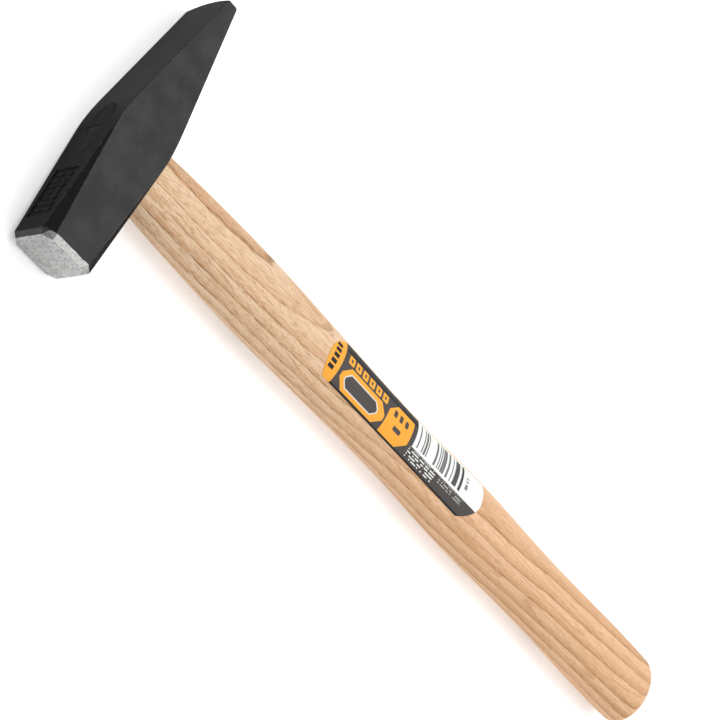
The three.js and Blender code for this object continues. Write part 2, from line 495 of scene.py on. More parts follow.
def dress(piece: Piece, material: Material, slot: str, *nodes: str) -> None:
    """Gives a piece its only finish, and says what it rides on and stands for.

    Args:
        piece: The piece.
        material: Its finish.
        slot: The record's material slot.
        nodes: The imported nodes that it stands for.
    """
    piece.data.materials.clear()
    piece.data.materials.append(material)
    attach(piece, ROOT)
    if nodes:
        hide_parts(*nodes)
    faces = sum(len(face.vertices) - 2 for face in piece.data.polygons)
    log.info("%s: %d triangles, %s", piece.name, faces, slot)


# ---------------------------------------------------------------- finishes


@dataclass(frozen=True)
class ForgedCoat:
    """Matt black enamel on forged steel, ground bare round the striking face."""

    dark: Colour = (0.029, 0.029, 0.029)
    light: Colour = (0.058, 0.058, 0.058)
    # Lighter grey for worn paint on the edges and nose, also used as painted reflection on the lip round the
    # face.
    scuff_and_reflection: Colour = (0.10, 0.098, 0.095)
    # Near black, used as painted shade on the turned-away faces and in the stamped panel.
    shade_black: Colour = (0.004, 0.004, 0.004)
    steel_dark: Colour = (0.17, 0.17, 0.164)
    steel_light: Colour = (0.56, 0.555, 0.54)
    # Light steel used as a painted highlight on the upper bevel.
    highlight_steel: Colour = (0.52, 0.52, 0.505)
    painted_lip: float = 0.2 * MM
    ground_lip: float = 1.75 * MM
    worn_nose: float = 3.2 * MM
    lip_wear_and_reflection: float = 1.6 * MM
    top_fade: Pair = (1.7 * MM, 1.1 * MM)
    panel_fade: Pair = (1.0 * MM, 0.8 * MM)
    highlight_fade: Pair = (1.5 * MM, 1.1 * MM)
    ragged: float = 0.5 * MM

    def material(self, head: "Head") -> Material:
        """Builds the finish.

        Args:
            head: The head, for where its face, top and nose are.

        Returns:
            The material.
        """
        bench = Bench("forged_coat")
        y = bench.xyz[1]
        cloud = bench.noise(110, 4, 0.6)
        speckle = bench.noise(2600, 2)
        edge = bench.mark("edge")
        thickness_and_shade = bench.mark("thickness_and_shade")
        bare = self._bare(bench, head)
        nose = y.step(head.nose_y - self.worn_nose, head.nose_y)
        scuff = (edge * 0.3 + nose * 0.45) * bench.noise(900, 3).step(0.46, 0.66)
        coat = bench.blend(cloud.step(0.3, 0.7) * 0.5 + speckle * 0.5, self.dark, self.light)
        stamped, mottle = self._stamped(bench, head)
        # Painted shade: the stamped panel's floor is darkened towards near black, mottled for the stamp
        # marks.
        coat = bench.blend(stamped * (0.75 + mottle * 0.25), coat, self.shade_black)
        # Worn paint and painted reflection: the coat is lightened on the bevel round the striking face.
        lip = (head.face_y + self.lip_wear_and_reflection - y).step(-0.2 * MM, 0.1 * MM) * 0.42
        # Painted shade: the coat on the chamfers, top, underside and pein slopes is darkened towards near
        # black by the mesh's mark.
        coat = bench.blend(thickness_and_shade, coat, self.shade_black)
        coat = bench.blend((scuff + edge * 0.05).most(lip), coat, self.scuff_and_reflection)
        steel, scratches = self._steel(bench, head)
        return bench.finish(
            Base_Color=bench.blend(bare, coat, steel),
            Metallic=bare,
            Roughness=(0.5 + cloud * 0.14 + scuff * 0.1) * (1 - bare) + bare * (0.3 + scratches * 0.22),
            Normal=bench.relief(
                (bench.noise(95, 2), 0.06 * MM),
                (bench.noise(1500, 3), 0.02 * MM),
                (mottle * stamped, 0.12 * MM),
                (scratches * bare, 0.03 * MM),
            ),
            Specular_IOR_Level=0.03,
        )

    def _bare(self, bench: Bench, head: "Head") -> Wire:
        """Where the enamel is ground away.

        Args:
            bench: The material's tree.
            head: The head.

        Returns:
            The mask of bare steel.
        """
        x, y, _ = bench.xyz
        top = (x * -1).step(*(head.face_half - depth for depth in self.top_fade))
        lip = self.ground_lip + top * (self.painted_lip - self.ground_lip)
        ragged = (bench.noise(420, 3) - 0.5) * self.ragged
        return (y - head.face_y - lip + ragged).step(0.06 * MM, -0.06 * MM)

    def _stamped(self, bench: Bench, head: "Head") -> tuple[Wire, Wire]:
        """The stamped panel's floor, painted near black as painted shade in the recess, with mottling for the
        stamp marks.

        Args:
            bench: The material's tree.
            head: The head.

        Returns:
            The mask of the panel and its mottling.
        """
        x, y, z = bench.xyz
        middle, _ = head.panel_frame()
        near = abs(y - middle.y).step(head.panel_length / 2 + SOFT_EDGE, head.panel_length / 2 - SOFT_EDGE)
        wide = abs(z - middle.z).step(head.panel_width / 2 + SOFT_EDGE, head.panel_width / 2 - SOFT_EDGE)
        top = (x * -1).step(*(head.face_half - depth for depth in self.panel_fade))
        return near * wide * top, bench.noise(700, 3, 0.6).step(0.35, 0.65)

    def _steel(self, bench: Bench, head: "Head") -> tuple[Wire, Wire]:
        """The ground steel's colour and its scratches, with a painted highlight lightening the bevel under
        the upper cheek.

        Args:
            bench: The material's tree.
            head: The head.

        Returns:
            The colour and the scratches.
        """
        coarse = bench.noise((260, 260, 2400), 4, 0.65)
        pits = bench.noise(1300, 3, 0.6)
        ground = bench.blend(coarse * 0.45 + pits.step(0.3, 0.7) * 0.5, self.steel_dark, self.steel_light)
        # Painted highlight: the ground steel is lightened on the bevel under the upper cheek, which faces the
        # light.
        highlight_mask = bench.xyz[2].step(*(head.high_z - depth for depth in self.highlight_fade))
        return bench.blend(highlight_mask * pits.step(0.28, 0.52) * 0.7, ground, self.highlight_steel), coarse


@dataclass(frozen=True)
class Ash:
    """Ring-porous ash under a thin clear lacquer, with its driven end dipped in black."""

    cream: Colour = (0.72, 0.53, 0.36)
    warm: Colour = (0.72, 0.455, 0.275)
    honey: Colour = (0.60, 0.36, 0.19)
    tan: Colour = (0.46, 0.235, 0.10)
    vessel: Colour = (0.22, 0.108, 0.045)
    seam: Colour = (0.33, 0.155, 0.062)
    dip: Colour = (0.003, 0.003, 0.003)
    warm_from: float = 50 * MM
    warm_to: float = 180 * MM
    ring: float = 2.9 * MM
    pith_away: float = 30 * MM
    pith_angle: float = math.radians(34)
    tilt: float = -0.05

    def material(self, handle: "Handle") -> Material:
        """Builds the finish.

        Args:
            handle: The handle, for its centre line and its driven end.

        Returns:
            The material.
        """
        bench = Bench("ash")
        x = bench.xyz[0]
        band, seam, pores, tone = self._rings(bench, handle.centre_z)
        streak = bench.noise((24, 640, 640), 4, 0.6)
        fibre = bench.noise((190, 2400, 2400), 3, 0.7)
        grit = bench.noise((520, 2900, 2900), 2, 0.6)
        broken = bench.noise((240, 2300, 2300), 1).step(0.5, 0.6)
        stray = bench.noise((300, 2600, 2600), 1).step(0.63, 0.7)
        vessels = (pores * broken * tone).most(stray * 0.5)
        wash = bench.noise((14, 70, 70), 2)
        cream = bench.blend(x.step(self.warm_from, self.warm_to), self.cream, self.warm)
        contours = (bench.noise((5, 120, 120), 1) * 26).fraction()
        lines = contours.step(0.0, 0.08) * contours.step(0.42, 0.12)
        ground = bench.blend(wash.step(0.3, 0.75) * 0.3 + streak.step(0.4, 0.7) * 0.35, cream, self.honey)
        ground = bench.blend(lines * wash.step(0.62, 0.4) * 0.55, ground, self.tan)
        banded = bench.blend(band * tone * (0.4 + streak * 0.9), ground, self.tan)
        lively = x.step(self.warm_to, self.warm_from) * 0.5 + 0.75
        banded = bench.blend(seam * (streak * 1.1 + 0.1), banded, self.seam)
        flecked = bench.blend(fibre.step(0.5, 0.68) * lively * 0.6, banded, self.tan)
        pale = bench.blend((fibre.step(0.5, 0.3) * 0.5 + grit.step(0.5, 0.3) * 0.35) * lively, flecked, cream)
        wood = bench.blend((vessels * 0.7 + grit.step(0.55, 0.7) * 0.25) * lively, pale, self.vessel)
        dipped = bench.dipped(handle.dip_x)
        return bench.finish(
            Base_Color=bench.blend(dipped, wood, self.dip),
            Roughness=(0.5 + band * 0.1 + fibre * 0.12).most(dipped * 0.9),
            Normal=bench.relief((vessels * -1, 0.012 * MM), (fibre, 0.012 * MM)),
            Specular_IOR_Level=0.25,
        )

    def _rings(self, bench: Bench, centre_z: float) -> tuple[Wire, Wire, Wire, Wire]:
        """The growth rings.

        Args:
            bench: The material's tree.
            centre_z: The height of the handle's centre line.

        Returns:
            The tan band of each ring, its brown first line, its line of pores, and how strong each ring is.
        """
        x, y, z = bench.xyz
        across = y + self.pith_away * math.sin(self.pith_angle)
        above = z - centre_z + self.pith_away * math.cos(self.pith_angle)
        sway = bench.noise((9, 50, 50), 2, 0.4) - 0.5
        ripple = bench.noise((60, 600, 600), 3, 0.6) - 0.5
        radius = (across * across + above * above).root() + x * self.tilt
        count = (radius + sway * (7.5 * MM) + ripple * (0.5 * MM)) / self.ring
        part = count.fraction()
        band = part.step(0.0, 0.05) * part.step(0.85, 0.05)
        pores = part.step(0.0, 0.03) * part.step(0.16, 0.1)
        seam = part.step(0.0, 0.02) * part.step(0.13, 0.06)
        tone = bench.chance(count.whole()) * 0.65 + 0.35
        return band, seam * tone, pores, tone


@dataclass(frozen=True)
class WedgeWood:
    """Plain hardwood, end grain up, under the same black dip."""

    pale: Colour = (0.56, 0.37, 0.21)
    deep: Colour = (0.36, 0.21, 0.11)
    dip: Colour = (0.007, 0.007, 0.007)

    def material(self, dip_x: float) -> Material:
        """Builds the finish.

        Args:
            dip_x: How far down the black dip reaches.

        Returns:
            The material.
        """
        bench = Bench("wedge_wood")
        grain = bench.noise((90, 1500, 1500), 4, 0.6)
        dipped = bench.dipped(dip_x)
        wood = bench.blend(grain.step(0.3, 0.7), self.pale, self.deep)
        return bench.finish(
            Base_Color=bench.blend(dipped, wood, self.dip),
            Roughness=0.6 + grain * 0.2,
            Normal=bench.relief((grain, 0.03 * MM)),
            Specular_IOR_Level=0.1,
        )


@dataclass(frozen=True)
class WedgeSteel:
    """Rolled mild steel with mill scale, its driven end dipped black."""

    bright: Colour = (0.42, 0.41, 0.40)
    scale: Colour = (0.13, 0.125, 0.12)
    dip: Colour = (0.009, 0.009, 0.009)

    def material(self, dip_x: float) -> Material:
        """Builds the finish.

        Args:
            dip_x: How far down the black dip reaches.

        Returns:
            The material.
        """
        bench = Bench("wedge_steel")
        blotch = bench.noise(700, 4, 0.6)
        dipped = bench.dipped(dip_x)
        steel = bench.blend(blotch.step(0.35, 0.65), self.bright, self.scale)
        return bench.finish(
            Base_Color=bench.blend(dipped, steel, self.dip),
            Metallic=(1 - dipped) * (0.95 - blotch * 0.3),
            Roughness=0.5 + blotch * 0.25,
            Normal=bench.relief((bench.noise(1700, 3), 0.02 * MM)),
            Specular_IOR_Level=0.1,
        )


class Ink(Enum):
    """The label's printing inks."""

    ORANGE = (0.80, 0.34, 0.026)
    GREY = (0.055, 0.047, 0.044)
    BLACK = (0.002, 0.002, 0.002)
    WHITE = (0.76, 0.77, 0.74)
    PALE = (0.62, 0.62, 0.60)


class Press(Bench):
    """A label's node tree, which lays flat inks over one another. Its shapes are in millimetres."""

    SOFT = 0.06

    def __init__(self, name: str, length: float, width: float) -> None:
        """Starts the print on plain grey film.

        Args:
            name: The material's name.
            length: The label's length in metres.
            width: Its width in metres.
        """
        super().__init__(name)
        self.length, self.width = length / MM, width / MM
        u, v, _ = self.split(self.node("ShaderNodeUVMap", {"uv_map": "label"}, {}))
        self.along, self.across = u * self.length, v * self.width
        self.colour = Ink.GREY.value

    def ink(self, mask: Wire, ink: Ink) -> None:
        """Prints an ink over what is there."""
        self.colour = self.blend(mask, self.colour, ink.value)

    def bar(self, low: Pair, high: Pair, rounding: float = 0.0) -> Wire:
        """A filled rectangle with round corners.

        Args:
            low: The corner nearest the head, along and across.
            high: The corner nearest the butt.
            rounding: The corner radius.

        Returns:
            The mask.
        """
        half_along = (high[0] - low[0]) / 2 - rounding
        half_across = (high[1] - low[1]) / 2 - rounding
        out_along = (abs(self.along - (low[0] + high[0]) / 2) - half_along).most(0)
        out_across = (abs(self.across - (low[1] + high[1]) / 2) - half_across).most(0)
        outside = (out_along * out_along + out_across * out_across).root()
        return outside.step(rounding + 2 * self.SOFT, rounding)

    def lozenge(self, middle: Pair, half: Pair, cut: float, leaning: bool = False) -> Wire:
        """A rectangle with its corners cut off.

        Args:
            middle: Its middle, along and across.
            half: Its half sizes.
            cut: How much of each corner is cut off.
            leaning: Whether only the two corners on one diagonal are cut.

        Returns:
            The mask.
        """
        off_along, off_across = self.along - middle[0], self.across - middle[1]
        out_along, out_across = abs(off_along), abs(off_across)
        reach = (out_along - half[0]).most(out_across - half[1])
        diagonal = abs(off_along - off_across) if leaning else out_along + out_across
        corner = (diagonal - (half[0] + half[1] - cut)) * math.sqrt(0.5)
        return reach.most(corner).step(self.SOFT, -self.SOFT)


@dataclass(frozen=True)
class LabelPrint:
    """A printed film label: coloured fields, plain bars and a plain shape, with no lettering."""

    length: float
    width: float
    tab_end: float = 5.8
    fields_end: float = 43.2
    panel_low: float = 5.3
    past_edge: float = 1.0
    tab_bars: tuple[float, ...] = (3.4, 5.4, 7.4, 9.4, 11.4)
    blocks: int = 6
    block_pitch: float = 3.45
    badge_blocks: tuple[tuple[Pair, Pair], ...] = (
        ((31.8, 8.2), (33.2, 10.6)), ((34.6, 8.2), (36.0, 10.6)), ((37.4, 8.2), (38.8, 10.6)),
        ((33.6, 4.4), (37.0, 5.9)),
    )

    def material(self) -> Material:
        """Builds the finish on the label's own map.

        Returns:
            The material.
        """
        press = Press("label_print", self.length, self.width)
        self._fields(press)
        self._stock_panel(press)
        grime = press.noise(500, 4, 0.6)
        return press.finish(
            Base_Color=press.blend(grime.step(0.62, 0.9) * 0.12, press.colour, Ink.PALE.value),
            Roughness=0.42 + grime * 0.18,
            Normal=press.relief((press.noise(260, 2), 0.02 * MM)),
            Specular_IOR_Level=0.25,
        )

    def _fields(self, press: Press) -> None:
        """The orange tab, the black border, the row of hollow blocks, the octagon and the badge.

        Args:
            press: The label's print.
        """
        top = press.width + self.past_edge
        press.ink(press.bar((-self.past_edge, -self.past_edge), (self.tab_end, top)), Ink.ORANGE)
        for low in self.tab_bars:
            press.ink(press.bar((1.7, low), (3.9, low + 1.2)), Ink.BLACK)
        border = press.bar((6.6, 12.7), (self.fields_end, top))
        rim = press.bar((self.tab_end, -self.past_edge), (press.length + self.past_edge, 0.55))
        press.ink(border.most(rim), Ink.BLACK)
        for index in range(self.blocks):
            start = 8.0 + self.block_pitch * index
            block = press.bar((start, 9.3), (start + 2.5, 12.3), 0.4)
            press.ink(block - press.bar((start + 0.95, 10.2), (start + 1.55, 11.4), 0.2), Ink.ORANGE)
        press.ink(press.lozenge((18.0, 4.7), (10.7, 3.9), 3.0), Ink.ORANGE)
        press.ink(press.lozenge((17.4, 4.6), (8.2, 2.5), 1.9), Ink.PALE)
        press.ink(press.lozenge((17.4, 4.6), (7.8, 2.15), 1.7), Ink.GREY)
        press.ink(press.lozenge((35.3, 6.7), (5.9, 6.0), 3.5, leaning=True), Ink.ORANGE)
        for low, high in self.badge_blocks:
            press.ink(press.bar(low, high, 0.5), Ink.GREY)

    def _stock_panel(self, press: Press) -> None:
        """The white panel with plain stripes, and the dark strip with fine rules.

        Args:
            press: The label's print.
        """
        far = (press.length + self.past_edge, press.width + self.past_edge)
        press.ink(press.bar((self.fields_end, self.panel_low), far), Ink.WHITE)
        pick = press.chance((press.along * 2.3).whole() + 5)
        stripes = (pick > 0.4) * press.bar((44.8, 6.2), (66.8, 15.4))
        press.ink(stripes * (pick * 0.5 + 0.5), Ink.BLACK)
        ticks = (press.chance((press.across * 1.6).whole()) > 0.45) * press.bar((68.4, 8.0), (69.6, 14.2))
        press.ink(ticks * 0.8, Ink.GREY)
        line = press.across * 1.15
        broken = press.chance((press.along * 1.7).whole() + line.whole() * 37.0) > 0.3
        rules = (line.fraction() > 0.52) * broken
        strip = press.bar((42.6, 1.0), (56.0, 4.9)) * 0.9
        press.ink(rules * strip.most(press.bar((58.0, 3.2), (70.0, 4.9)) * 0.4), Ink.WHITE)


@dataclass(frozen=True)
class PaleBoard:
    """A plain pale studio table, lit a little from below."""

    pale: Colour = (0.86, 0.86, 0.86)
    cool: Colour = (0.83, 0.83, 0.84)
    glow: float = 0.36

    def material(self) -> Material:
        """Builds the finish.

        Returns:
            The material.
        """
        bench = Bench("pale_board")
        return bench.finish(
            Base_Color=bench.blend(bench.noise(3, 2), self.pale, self.cool),
            Roughness=0.75,
            Specular_IOR_Level=0.2,
            Emission_Color=(1.0, 1.0, 1.0, 1.0),
            Emission_Strength=self.glow,
        )


# ---------------------------------------------------------------- oval lofts


@dataclass(frozen=True)
class OvalLoft:
    """A closed body of ovals along X: the grip, the tenon and the eye are all cut from this rule."""

    outline: tuple[Pair, ...] = ((0.0, 1.0), (1.0, 1.0))
    sides: int = 128
    rings: int = 240
    lip_share: float = 0.03
    dome_share: float = 0.12
    dome_power: float = 0.6

    SIZES = ("Start", "Finish", "Height", "Thickness", "Flare", "Flare Reach", "Lip", "Dome", "Centre Z")

    def build(self, name: str, material: Material, sizes: dict[str, float]) -> Piece:
        """Runs the rule.

        Args:
            name: The piece's name.
            material: Its finish.
            sizes: A value for each of SIZES.

        Returns:
            The closed piece.
        """
        jig = Jig("oval_loft", {label: "NodeSocketFloat" for label in self.SIZES})
        grid = {"Size X": 1.0, "Size Y": 1.0, "Vertices X": self.rings, "Vertices Y": self.sides + 1}
        sheet = jig.node("GeometryNodeMeshGrid", {}, grid)
        across, around, _ = jig.split(jig.node("GeometryNodeInputPosition", {}, {}))
        shape = self._shape(jig, across + 0.5, around + 0.5)
        moved = jig.node("GeometryNodeSetPosition", {}, {"Geometry": sheet, "Position": shape})
        merged = jig.node("GeometryNodeMergeByDistance", {}, {"Geometry": moved, "Distance": 0.001 * MM})
        jig.close(merged, material)
        return jig.run(name, sizes)

    def _shape(self, jig: Jig, share: Wire, around: Wire) -> Wire:
        """Where each point of the sheet goes.

        Args:
            jig: The tree.
            share: How far along the rings.
            around: How far round the oval.

        Returns:
            The position.
        """
        first = 1 / (self.rings - 1)
        lip = ((share - first) / self.lip_share).most(0).least(1)
        middle = 1 - first - self.lip_share - self.dome_share
        body = ((share - first - self.lip_share) / middle).most(0).least(1)
        dome = ((share - 1 + self.dome_share) / self.dome_share).most(0).least(1)
        lip_turn, dome_turn = lip * (math.pi / 2), dome * (math.pi / 2)
        start = jig.size("Start") + jig.size("Lip") * (1 - lip_turn.cosine())
        span = jig.size("Finish") - jig.size("Dome") - jig.size("Start") - jig.size("Lip")
        x = start + body * span + jig.size("Dome") * dome_turn.sine()
        tight = jig.size("Lip") * (lip_turn.sine() - 1)
        flare_at = (abs(x) / jig.size("Flare Reach")).least(1)
        flare = jig.size("Flare") * flare_at * flare_at
        shrink = dome_turn.cosine().most(0).power(self.dome_power) * (share > first * 0.5)
        swell = self._swell(jig, (x - jig.size("Start")) / (jig.size("Finish") - jig.size("Start")))
        height = (jig.size("Height") * swell + flare + tight) * shrink
        thickness = (jig.size("Thickness") * swell + flare + tight) * shrink
        angle = around * (2 * math.pi)
        return jig.join(x, height * angle.sine(), jig.size("Centre Z") + thickness * angle.cosine())

    def _swell(self, jig: Jig, share: Wire) -> Wire:
        """The outline's smooth curve through its stations.

        Args:
            jig: The tree.
            share: How far along the body.

        Returns:
            The share of the greatest size there.
        """
        curve = jig.node("ShaderNodeFloatCurve", {}, {"Value": share})
        node = curve.socket.node
        points = node.mapping.curves[0].points
        for index, (along, size) in enumerate(self.outline):
            if index in (0, len(self.outline) - 1):
                point = points[0 if index == 0 else len(points) - 1]
                point.location = (along, size)
            else:
                points.new(along, size)
        node.mapping.update()
        return curve


# ---------------------------------------------------------------- the hammer's pieces


@dataclass
class Head:
    """The forged head: square poll with long chamfers, oval eye and a wedge-shaped pein."""

    coat: ForgedCoat = field(default_factory=ForgedCoat)
    face_half: float = 9.5 * MM
    eye_half: float = 10.0 * MM
    bend_y: float = 6.5 * MM
    bend_span: float = 7.0 * MM
    pein_thickness: float = 4.0 * MM
    pein_round: float = 0.8 * MM
    crown: float = 1.2 * MM
    chamfer: float = 3.2 * MM
    rim: float = 1.3 * MM
    rim_depth: float = 1.7 * MM
    edge_angle: float = 8
    edge_round: float = 0.28 * MM
    crease: float = 40
    panel_length: float = 17 * MM
    panel_width: float = 10.5 * MM
    panel_depth: float = 0.4 * MM
    panel_from_face: float = 6.5 * MM
    panel_slope: float = 0.35 * MM
    bars_in_row: int = 7
    bar_rows_short: float = 4.2 * MM
    bar_rows_apart: float = 4.1 * MM
    bar_size: Point = (1.1 * MM, 2.9 * MM, 0.36 * MM)
    bar_round: float = 0.12 * MM
    bar_crease: float = 50
    bar_seed: int = 11
    eye_height: float = 9.1 * MM
    eye_thickness: float = 4.4 * MM
    eye_flare: float = 0.7 * MM
    # How much painted shade darkens the coat on the chamfers, on the top and underside, and on the pein
    # slopes.
    chamfer_shade: float = 0.8
    side_shade: float = 0.82
    pein_shade: float = 0.45
    pein_turn: float = 0.15
    slices: int = 14
    nose_steps: int = 14
    bend_steps: int = 8

    def __post_init__(self) -> None:
        """Takes the head's place from the frame."""
        low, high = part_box("head")
        self.face_y, self.nose_y = low.y, high.y
        self.high_z = high.z
        self.centre_z = (low.z + high.z) / 2
        self.half_width = (high.z - low.z) / 2

    def build(self) -> None:
        """Builds and dresses the head and the bars of its stamped panel."""
        material = self.coat.material(self)
        blank = self._blank()
        head = carve(blank, [("DIFFERENCE", self._eye(material)), ("DIFFERENCE", self._pocket())])
        smooth(head, self.crease)
        dress(head, material, "coated_steel", "head")
        dress(self._bars(material), material, "coated_steel")

    def _side_outline(self) -> list[tuple[float, float, float]]:
        """The side view.

        Returns:
            Points of x, y and how much of the crown each takes.
        """
        corner_x = self.pein_thickness / 2 - self.pein_round
        corner_y = self.nose_y - self.pein_round
        rise, run = self.eye_half - corner_x, corner_y - self.bend_y
        slope = math.atan2(rise, run) - math.asin(self.pein_round / math.hypot(rise, run))
        round_off = []
        for step in range(self.nose_steps + 1):
            turn = slope + (math.pi / 2 - slope) * step / self.nose_steps
            round_off.append((corner_x + self.pein_round * math.cos(turn),
                              corner_y + self.pein_round * math.sin(turn), 1.0))
        bend = Vector((self.eye_half, self.bend_y))
        before = bend + (Vector((self.face_half, self.face_y)) - bend).normalized() * self.bend_span
        after = bend + Vector((-math.sin(slope), math.cos(slope))) * self.bend_span
        steps = [step / self.bend_steps for step in range(self.bend_steps + 1)]
        curve = [before.lerp(bend, s).lerp(bend.lerp(after, s), s) for s in steps]
        upper = [(self.face_half, self.face_y, 0.0), *((x, y, 0.0) for x, y in curve), *round_off]
        return [*upper, *((-x, y, share) for x, y, share in reversed(upper))]

    def _blank(self) -> Piece:
        """The head before its eye is punched.

        Returns:
            The blank, with its edges rounded and marked.
        """
        bm = bmesh.new()
        rows = []
        for index in range(self.slices + 1):
            side = 2 * index / self.slices - 1
            back = self.crown * side * side
            z = self.centre_z + self.half_width * side
            rows.append([bm.verts.new((x, y - back * share, z)) for x, y, share in self._side_outline()])
        skin(bm, rows)
        bmesh.ops.recalc_face_normals(bm, faces=bm.faces)
        for onto, outward in self._chamfer_planes() + self._rim_planes():
            self._trim(bm, onto, outward)
        everything = {"verts": bm.verts, "edges": bm.edges}
        bmesh.ops.dissolve_limit(bm, angle_limit=math.radians(0.2), **everything)
        self._round_edges(bm)
        return from_bmesh("hammer_head", bm)

    def _round_edges(self, bm: BMesh) -> None:
        """Rounds every crease, marks the rounded faces, and marks painted shade on each face by which way it
        looks: strong on the chamfers, top and underside, weaker on the pein slopes, none on the cheeks.

        Args:
            bm: The blank.
        """
        least = math.radians(self.edge_angle)
        creases = [e for e in bm.edges if e.is_manifold and e.calc_face_angle() > least]
        made = bmesh.ops.bevel(
            bm, geom=creases, offset=self.edge_round, offset_type="OFFSET", segments=3, profile=0.5,
            affect="EDGES", clamp_overlap=False, loop_slide=True,
        )
        worn = bm.loops.layers.float.new("edge")
        for face in made["faces"]:
            for corner in face.loops:
                corner[worn] = 1.0
        # Painted shade: how far each face's coat is darkened, by which way the face looks.
        thickness_and_shade = bm.loops.layers.float.new("thickness_and_shade")
        bm.normal_update()
        for face in bm.faces:
            side, up = abs(face.normal.x), abs(face.normal.z)
            turned = min(1.0, max(0.0, face.normal.y) / self.pein_turn)
            on_side = self.side_shade + (self.pein_shade - self.side_shade) * turned
            coat = self.chamfer_shade if min(side, up) > 0.5 else on_side if side > 0.9 else 0.0
            for corner in face.loops:
                corner[thickness_and_shade] = coat

    @staticmethod
    def _trim(bm: BMesh, onto: Vector, outward: Vector) -> None:
        """Cuts away what lies outside a plane, and closes the cut.

        Args:
            bm: The blank.
            onto: A point on the plane.
            outward: The plane's outward normal.
        """
        cut = bmesh.ops.bisect_plane(
            bm, geom=[*bm.verts, *bm.edges, *bm.faces], dist=1e-7,
            plane_co=onto, plane_no=outward, clear_outer=True,
        )
        edges = [item for item in cut["geom_cut"] if isinstance(item, bmesh.types.BMEdge)]
        bmesh.ops.edgeloop_fill(bm, edges=[edge for edge in edges if edge.is_boundary])

    def _chamfer_planes(self) -> list[tuple[Vector, Vector]]:
        """The four long chamfers, widest at the face and gone at the bend.

        Returns:
            A point and an outward normal for each.
        """
        planes = []
        for side_x in (-1, 1):
            for side_z in (-1, 1):
                cheek = self.centre_z + side_z * self.half_width
                run_out = Vector((side_x * self.eye_half, self.bend_y, cheek))
                on_cheek = Vector((side_x * (self.face_half - self.chamfer), self.face_y, cheek))
                on_top = Vector((side_x * self.face_half, self.face_y, cheek - side_z * self.chamfer))
                normal = (on_cheek - run_out).cross(on_top - run_out).normalized()
                planes.append((run_out, normal * math.copysign(1, normal.x * side_x)))
        return planes

    def _rim_planes(self) -> list[tuple[Vector, Vector]]:
        """The eight bevels round the striking face.

        Returns:
            A point and an outward normal for each.
        """
        corner = (self.face_half + self.half_width - self.chamfer) / math.sqrt(2)
        planes = []
        for index in range(8):
            angle = index * math.pi / 4
            reach = corner if index % 2 else self.face_half
            out = Vector((math.cos(angle), 0, math.sin(angle)))
            onto = out * reach + Vector((0, self.face_y + self.rim_depth, self.centre_z))
            planes.append((onto, out * self.rim_depth + Vector((0, -self.rim, 0))))
        return planes

    def _eye(self, material: Material) -> Piece:
        """The solid that punches the eye, with a small round at its rims.

        Args:
            material: The head's finish, which also lines the eye.

        Returns:
            The punch.
        """
        beyond = 1.0 * MM
        loft = OvalLoft(sides=96, rings=60)
        return loft.build("eye_punch", material, {
            "Start": -self.eye_half - beyond, "Finish": self.eye_half + beyond,
            "Height": self.eye_height, "Thickness": self.eye_thickness,
            "Flare": self.eye_flare, "Flare Reach": self.eye_half,
            "Lip": 0.0, "Dome": 0.0, "Centre Z": self.centre_z,
        })

    def panel_frame(self) -> tuple[Vector, Euler]:
        """Where the stamped panel lies.

        Returns:
            Its middle on the poll's top, and its turn.
        """
        middle_y = self.face_y + self.panel_from_face + self.panel_length / 2
        rise = (self.eye_half - self.face_half) / (self.bend_y - self.face_y)
        surface = self.face_half + rise * (middle_y - self.face_y)
        return Vector((-surface, middle_y, self.centre_z)), Euler((0, 0, math.atan(rise)))

    def _pocket(self) -> Piece:
        """The die that stamps the panel, with sloping sides.

        Returns:
            The die.
        """
        middle, turn = self.panel_frame()
        bm = bmesh.new()
        for side_y in (-1, 1):
            for side_z in (-1, 1):
                for out in (-1, 1):
                    length = self.panel_length - out * self.panel_slope
                    width = self.panel_width - out * self.panel_slope
                    corner = Vector((out * self.panel_depth, side_y * length / 2, side_z * width / 2))
                    corner.rotate(turn)
                    bm.verts.new(middle + corner)
        bmesh.ops.convex_hull(bm, input=bm.verts)
        return from_bmesh("panel_die", bm)

    def _bars(self, material: Material) -> Piece:
        """Plain raised bars on the panel's floor, in two rows.

        Args:
            material: The head's finish.

        Returns:
            The bars as one piece.
        """
        width, length, height = self.bar_size
        sizes = {
            "Row Length": self.panel_length - self.bar_rows_short, "Row Gap": self.bar_rows_apart,
            "Bar Length": length, "Bar Width": width, "Bar Height": height,
        }
        jig = Jig("panel_bars", {label: "NodeSocketFloat" for label in sizes})
        grid = {"Size X": jig.size("Row Length"), "Size Y": jig.size("Row Gap")}
        counts = {"Vertices X": self.bars_in_row, "Vertices Y": 2}
        points = jig.node("GeometryNodeMeshGrid", {}, grid | counts)
        size = jig.join(jig.size("Bar Width"), jig.size("Bar Length"), jig.size("Bar Height"))
        block = {"Size": size, "Vertices X": 2, "Vertices Y": 3, "Vertices Z": 2}
        limits = {0: (0.75, 0.45, 1.0), 1: (1.25, 1.15, 1.0), "Seed": self.bar_seed}
        placed = jig.node("GeometryNodeInstanceOnPoints", {}, {
            "Points": points,
            "Instance": jig.node("GeometryNodeMeshCube", {}, block),
            "Scale": jig.node("FunctionNodeRandomValue", {"data_type": "FLOAT_VECTOR"}, limits),
        })
        jig.close(placed, material)
        bars = jig.run("panel_bars", sizes)
        middle, turn = self.panel_frame()
        for vertex in bars.data.vertices:
            along, across, up = vertex.co
            spot = Vector((self.panel_depth - up, along, across))
            spot.rotate(turn)
            vertex.co = middle + spot
        return soften(bars, self.bar_round, self.bar_crease)


